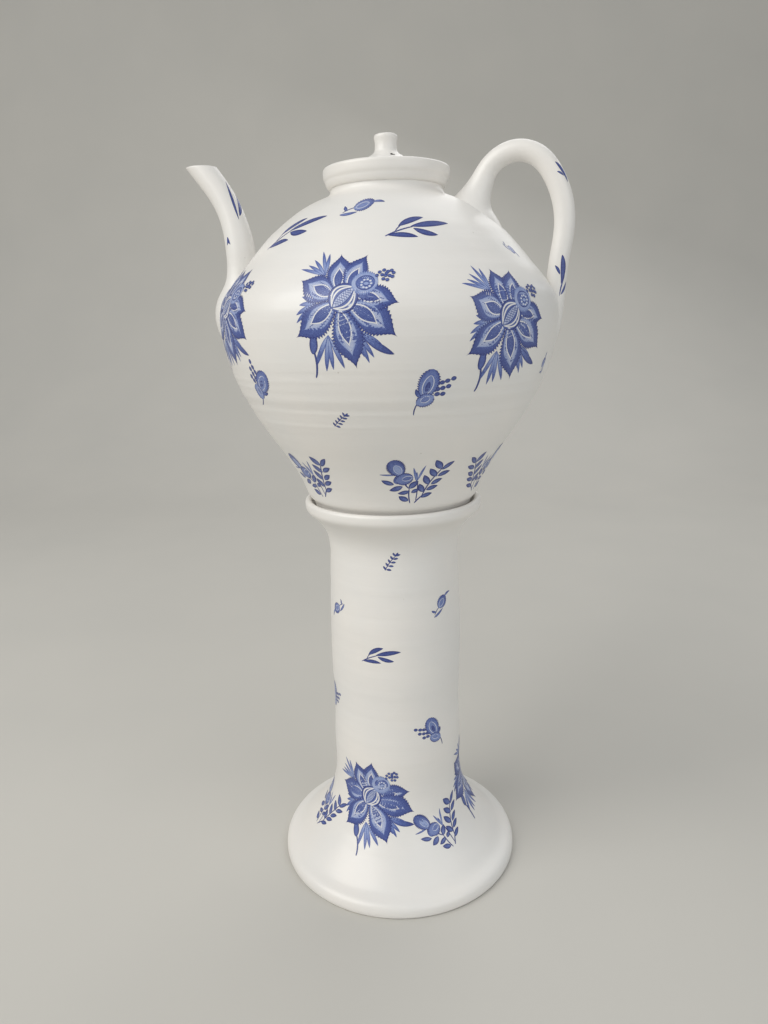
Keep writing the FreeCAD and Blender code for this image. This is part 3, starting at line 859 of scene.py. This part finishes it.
def berry_bud():
    """An open bud with nine berries on short stalks."""
    drawing = Drawing()
    drawing.stem((-7, -11), (-11, -27), 1.3, -1.2)
    for berry in [(8, 5), (13, 6.5), (18, 8), (24, 10), (9, 0), (14, 1), (19.5, 2.5), (9, -5), (14.5, -5)]:
        x, y = berry
        drawing.stem((x - 5, y - 1.5), (x, y), 0.5)
        drawing.leaf((x - 2.3, y - 0.7), (x + 3.0, y + 0.9), 4.3,
                     0, 0.5, 0.6, 0.98, 0.9, None, 0, 0.4, rows=9)
    drawing.leaf((-5, -9), (4, 20), 20, -0.8, 0.56, 0.55, 0.98, 0.50, 0.72, 0.35, 1.0, teeth=13)
    drawing.leaf((-3.5, -5), (2.5, 14), 10.5, -0.6, 0.5, 0.6, 0.12, 0.58, None, 0.4, 0.8)
    drawing.leaf((-2, -2), (1, 8), 4.6, -0.4, 0.5, 0.7, 0.9, 0.9, None, 0.2, 0.5)
    drawing.leaf((-10, -14), (6.5, -7), 14, -0.4, 0.5, 0.52, 0.98, 0.52, None, 0.35, 0.9, teeth=9)
    drawing.leaf((-6, -12), (3, -8), 6.5, 0, 0.5, 0.6, 0.1, 0.62, None, 0.4, 0.6)
    drawing.leaf((-6, -8), (-11, 1), 4.2, 0.8, 0.5, 0.8, 0.95, 0.6, 0.95, 0.3, 0.5)
    return drawing


def fern():
    """A tiny frond of five leaf pairs."""
    drawing = Drawing()
    drawing.stem((-8, -6), (6, 7), 0.8, 1.0)
    for number in range(5):
        place = np.array([-6.5, -5.2]) + np.array([3.0, 2.9]) * number
        lower = place + np.array([4.6, -1.6 + 0.5 * number])
        upper = place + np.array([-1.9, 4.2])
        drawing.leaf(place, lower, 2.1, 0.3, 0.5, 0.7, 0.98, 0.85, None, 0, 0.4)
        drawing.leaf(place, upper, 2.0, 0.3, 0.5, 0.7, 0.98, 0.85, None, 0, 0.4)
    drawing.leaf((5, 6), (8.5, 9.5), 2.0, 0, 0.5, 0.7, 0.98, 0.85, None, 0, 0.4)
    return drawing


def garland():
    """Two leafy branches with a pair of buds."""
    drawing = Drawing()
    drawing.stem((-2.3, 0), (-4.6, 19), 1.4, 0.8)
    drawing.stem((-4.6, 19), (-12, 30), 1.4, 0.8)
    drawing.stem((2, 0), (10, 9), 1.6, 0.4)
    drawing.stem((9, 7), (28, 43), 1.5, 2.2)
    drawing.stem((3.4, 3), (3.4, 28), 1.2, -0.5)
    tuft(drawing, (2, 27), [(9.5, 49), (-3, 47), (1, 41)], 3.0)
    drawing.leaf((-20, 38), (-36, 38.5), 2.0, 0.4, 0.4, 0.6, 0.8, 0.5, 0.9, 0, 0.4)
    leaves = [((8.5, 6.6), (20.5, 11), 5.2), ((13.5, 15.5), (26, 20), 5.6), ((18, 22.5), (30, 29), 5.6),
              ((24, 33), (37.5, 38.5), 5.6), ((27.8, 41), (41, 51), 5.4), ((10.7, 13.5), (5.4, 24.5), 6.8),
              ((15.8, 23), (9.3, 36), 7.2), ((23, 33), (14.5, 44), 7.4), ((27.8, 42.5), (19.5, 55), 8.2),
              ((-4.2, 3.6), (-14.5, 9.6), 6.2), ((-3.7, 15.6), (-15.8, 13.2), 5.2),
              ((-11.6, 22.2), (-24.5, 17.5), 6.6), ((-20.5, 25), (-33.5, 31), 5.4),
              ((-4.6, 19), (4, 28.5), 7.0), ((-2, 13.5), (6, 17), 5.0)]
    for base, tip, width in leaves:
        drawing.leaf(base, tip, width, 0.5, 0.46, 0.9, 1.0, 0.62, 0.85, 0.5, 0.9)
    drawing.leaf((-20, 27), (-9, 39), 12, 0, 0.5, 0.5, 0.95, 0.72, None, 0.35, 0.7)
    drawing.leaf((-14, 36), (-27, 57), 17.5, -0.5, 0.56, 0.52, 1.0, 0.55, 0.80, 0.5, 1.3, teeth=14)
    drawing.leaf((-15, 39), (-22, 51), 8.0, 0, 0.5, 0.6, 0.22, 0.42, None, 0.4, 0.7)
    drawing.leaf((-19, 30), (-2, 34), 16, 0, 0.5, 0.52, 1.0, 0.62, None, 0.35, 1.0, teeth=10)
    drawing.leaf((-13, 31.5), (-3, 34), 7.0, 0, 0.5, 0.55, 0.16, 0.70, None, 0.4, 0.8)
    return drawing


def cobalt():
    """Fired cobalt ink: from the white ground through pale and mid blue to near black where it is thick."""
    recipe = Recipe("cobalt_print")
    place, ground = glaze_ground(recipe)
    ink = recipe.node("ShaderNodeAttribute", {"attribute_name": "ink"}, output=2)
    lines = recipe.node("ShaderNodeAttribute", {"attribute_name": "hatch"}, output=2)
    flat = recipe.node("ShaderNodeUVMap", {"uv_map": "print"})
    across = recipe.node("ShaderNodeSeparateXYZ", {}, flat)
    along = recipe.node("ShaderNodeSeparateXYZ", {}, flat, output=1)
    engraved = (along * 62.0 - (across * across) * 30.0).sine().above(0.35)
    grain = recipe.node("ShaderNodeTexNoise", {}, place, Scale=900.0, Detail=1.0)
    depth = (ink + engraved * lines * 0.5 + (grain - 0.5) * 0.35 * (ink * 1.6).limited()).limited()
    pale = recipe.blend((depth * 3.2).limited(), ground, PALE_BLUE)
    middle = recipe.blend(((depth - 0.3) * 2.8).limited(), pale, MID_BLUE)
    recipe.set(Base_Color=recipe.blend(((depth - 0.62) * 2.7).limited(), middle, DEEP_BLUE))
    glaze_finish(recipe, place)
    return recipe.material


PALE_BLUE = paint(162, 178, 216)
MID_BLUE = paint(94, 114, 178)
DEEP_BLUE = paint(40, 50, 118)
ink_material = cobalt()


def print_piece(name, prints, body):
    """One mesh of all the films in a list of placed drawings, with their ink, hatch and flat places."""
    grids = [leaf for drawing in prints for leaf in drawing]
    points, faces, ink, lines, flat = [], [], [], [], []
    base = 0
    for grid, leaf_ink, leaf_lines, uv in grids:
        rows, columns = leaf_ink.shape
        points.append(grid.reshape(-1, 3))
        faces.append(grid_faces(rows, columns, False)[:, ::-1] + base)
        ink.append(leaf_ink.reshape(-1))
        lines.append(leaf_lines.reshape(-1))
        flat.append(uv.reshape(-1, 2))
        base += rows * columns
    faces = np.vstack(faces)
    piece = add_piece(name, np.vstack(points), faces.tolist(), body)
    mesh = piece.data
    for key, values in (("ink", np.concatenate(ink)), ("hatch", np.concatenate(lines))):
        layer = mesh.attributes.new(key, "FLOAT", "POINT")
        layer.data.foreach_set("value", values.astype(np.float32))
    layer = mesh.uv_layers.new(name="print")
    layer.data.foreach_set("uv", np.vstack(flat)[faces.reshape(-1)].astype(np.float32).reshape(-1))
    mesh.materials.append(ink_material)
    return piece


def on(surface, drawing, azimuth, height, *shape):
    """A drawing on a thrown surface, its origin at an azimuth in degrees and a height."""
    return drawing.placed(surface, math.radians(azimuth), surface.along_at_height(height), *shape)


big_flower = flower()
sprig, bud, berry, fern_leaf, wreath = leaf_sprig(), bud_sprig(), berry_bud(), fern(), garland()

belly_prints = []
for front in (0, 180):
    belly_prints += [
        on(pot_surface, big_flower, -139.0 + front, seat + 0.2300),
        on(pot_surface, big_flower, -88.8 + front, seat + 0.2342, 0, 1.03, False, 1.04),
        on(pot_surface, big_flower, -38.5 + front, seat + 0.2150, 2, 1.05),
    ]
print_piece("belly_flowers", belly_prints, "teapot")

shoulder_prints = []
bowl_prints = []
for front in (0, 180):
    shoulder_prints += [
        on(pot_surface, sprig, -77.0 + front, seat + 0.2870, -4, 1.27, False, 1.15),
        on(pot_surface, sprig, -132.5 + front, seat + 0.2830, 12, 1.25, False, 1.30),
        on(pot_surface, bud, -99.0 + front, seat + 0.3120, 0, 1.0, False, 1.50),
        on(pot_surface, bud, -25.0 + front, seat + 0.2840, -58, 0.55, False, 1.2),
    ]
    bowl_prints += [
        on(pot_surface, berry, -64.5 + front, seat + 0.1510),
        on(pot_surface, berry, -124.0 + front, seat + 0.1540, -55, 0.95, True),
        on(pot_surface, fern_leaf, -93.8 + front, seat + 0.1215),
        on(pot_surface, bud, -13.0 + front, seat + 0.1570, 70, 0.6),
        on(pot_surface, wreath, -64.5 + front, seat + 0.0275, 0, 1.02),
        on(pot_surface, wreath, -123.0 + front, seat + 0.0300, 8),
        on(pot_surface, wreath, -16.0 + front, seat + 0.0290, 0, 1.0, True),
    ]
print_piece("shoulder_sprigs", shoulder_prints, "teapot")
print_piece("bowl_garlands", bowl_prints, "teapot")

stand_prints = [
    on(pedestal_surface, big_flower, -101.0, 0.1070, 18),
    on(pedestal_surface, big_flower, 14.0, 0.1050, -8),
    on(pedestal_surface, big_flower, 129.0, 0.1040, 5),
    on(pedestal_surface, wreath, -37.0, 0.0450, 16, 0.95),
    on(pedestal_surface, wreath, -150.0, 0.0400, 4, 0.95),
    on(pedestal_surface, wreath, 75.0, 0.0410, 8, 0.95),
]
for front in (0, 180):
    stand_prints += [
        on(pedestal_surface, berry, -43.0 + front, 0.1900, 8, 0.9, True),
        on(pedestal_surface, berry, -155.0 + front, 0.2150, 0, 0.9),
        on(pedestal_surface, sprig, -106.0 + front, 0.2820),
        on(pedestal_surface, bud, -42.0 + front, 0.3350, 24, 0.92),
        on(pedestal_surface, bud, -125.0 + front, 0.3470, 60, 0.85, True),
        on(pedestal_surface, fern_leaf, -78.0 + front, 0.4030, 12, 1.15),
    ]
print_piece("stand_prints", stand_prints, "pedestal")


def two_leaves():
    """A broad blade and a thin one, for the spout and the handle's tail."""
    drawing = Drawing()
    drawing.leaf((0, 0), (-11, 22), 5.0, 1.4, 0.5, 0.8, 1.0, 0.9, None, 0.1, 0.4)
    drawing.leaf((2, -3), (-5, 32), 2.6, -1.6, 0.5, 0.8, 1.0, 0.9, None, 0.1, 0.3)
    return drawing


def small_mark():
    """Two short strokes that meet at the top."""
    drawing = Drawing()
    drawing.leaf((-3, -6), (0, 3), 3.0, -1.0, 0.6, 0.7, 1.0, 0.9, None, 0, 0.4)
    drawing.leaf((3, -6), (0, 3), 3.0, 1.0, 0.6, 0.7, 1.0, 0.9, None, 0, 0.4)
    return drawing


def one_leaf():
    """A curved blade with a short one beside it."""
    drawing = Drawing()
    drawing.leaf((0, -11), (0, 11), 4.6, 1.8, 0.55, 0.8, 1.0, 0.92, None, 0.1, 0.4)
    drawing.leaf((1, -4), (5, 3), 2.2, 0.6, 0.5, 0.8, 1.0, 0.9, None, 0, 0.3)
    return drawing


spout_prints = [
    two_leaves().placed(spout_tube, math.radians(-34), 0.585 * spout_tube.along[-1], 0, 1.2),
    small_mark().placed(spout_tube, math.radians(-114), 0.49 * spout_tube.along[-1]),
]
print_piece("spout_prints", spout_prints, "teapot")
handle_prints = [
    one_leaf().placed(handle_bar, math.radians(-140), 0.44 * handle_bar.along[-1], 170),
    one_leaf().placed(handle_bar, math.radians(-112), 0.715 * handle_bar.along[-1], 175, 1.3),
    two_leaves().placed(handle_bar, math.radians(-124), 0.79 * handle_bar.along[-1], 180, 0.6),
]
print_piece("handle_prints", handle_prints, "teapot")

# ---------------------------------------------------------------------------
# The studio.  A pale floor that sweeps up behind, soft lamps and the camera.

EYE = (0.2058, -0.8248, 0.6605)
HEADING = math.radians(15.0)
DIP = math.radians(14.36)
ROLL = math.radians(1.4)


def add_camera():
    """A camera at the eye point, turned to the heading, dipped and rolled a little clockwise."""
    data = bpy.data.cameras.new("camera")
    data.lens = 26.0
    data.sensor_width = 36.0
    data.clip_start = 0.01
    data.shift_x = 0.0032
    camera = bpy.data.objects.new("camera", data)
    bpy.context.scene.collection.objects.link(camera)
    camera.location = EYE
    camera.rotation_mode = "XYZ"
    camera.rotation_euler = (math.pi / 2 - DIP, 0.0, HEADING)
    camera.rotation_euler.rotate_axis("Z", -ROLL)
    bpy.context.scene.camera = camera


def add_sweep():
    """The floor, curving up into a back wall: an outline in the camera's heading, carried sideways."""
    outline = joined(
        straight_run((-4.0, 0.0), (1.8, 0.0), 4),
        round_run((1.8, 1.6), 1.6, -90, 0, 24),
        straight_run((3.4, 1.6), (3.4, 7.0), 3),
    )
    side = np.array([-9.0, 9.0])
    depth = outline[:, 0][:, None]
    x = side[None, :] * math.cos(HEADING) - depth * math.sin(HEADING)
    y = side[None, :] * math.sin(HEADING) + depth * math.cos(HEADING)
    z = outline[:, 1][:, None] + 0 * side[None, :]
    points = np.stack([x, y, z], axis=-1).reshape(-1, 3)
    mesh = bpy.data.meshes.new("sweep")
    mesh.from_pydata(points.tolist(), [], grid_faces(len(outline), 2, False).tolist())
    mesh.polygons.foreach_set("use_smooth", [True] * len(mesh.polygons))
    sweep = bpy.data.objects.new("sweep", mesh)
    bpy.context.scene.collection.objects.link(sweep)
    recipe = Recipe("pale_paper")
    place = recipe.node("ShaderNodeTexCoord", {}, output=3)
    mottle = recipe.node("ShaderNodeTexNoise", {}, place, Scale=3.0)
    recipe.set(Base_Color=recipe.blend(mottle, paint(206, 203, 196), paint(198, 196, 190)), Roughness=0.9)
    sweep.data.materials.append(recipe.material)


def add_lamp(name, place, size, power, tint):
    """A square soft lamp aimed at the belly."""
    data = bpy.data.lights.new(name, "AREA")
    data.size = size
    data.energy = power
    data.color = tint
    lamp = bpy.data.objects.new(name, data)
    bpy.context.scene.collection.objects.link(lamp)
    lamp.location = place
    belly = np.array([0.0, 0.0, 0.55])
    aim = belly - np.array(place)
    pitch = math.acos(-aim[2] / np.linalg.norm(aim))
    heading = math.atan2(aim[1], aim[0]) - math.pi / 2
    lamp.rotation_mode = "XYZ"
    lamp.rotation_euler = (pitch, 0.0, heading)


add_camera()
add_sweep()
add_lamp("key", (-1.9, -2.0, 2.6), 2.8, 80.0, (1.0, 0.98, 0.94))
add_lamp("fill", (2.6, -1.6, 1.6), 3.0, 26.0, (0.95, 0.98, 1.0))
add_lamp("back", (0.4, 2.2, 2.6), 2.4, 22.0, (1.0, 1.0, 1.0))
world = bpy.data.worlds.new("room")
world.use_nodes = True
world.node_tree.nodes["Background"].inputs["Color"].default_value = (0.82, 0.84, 0.86, 1.0)
world.node_tree.nodes["Background"].inputs["Strength"].default_value = 0.45
bpy.context.scene.world = world
bpy.context.scene.view_settings.view_transform = "Standard"
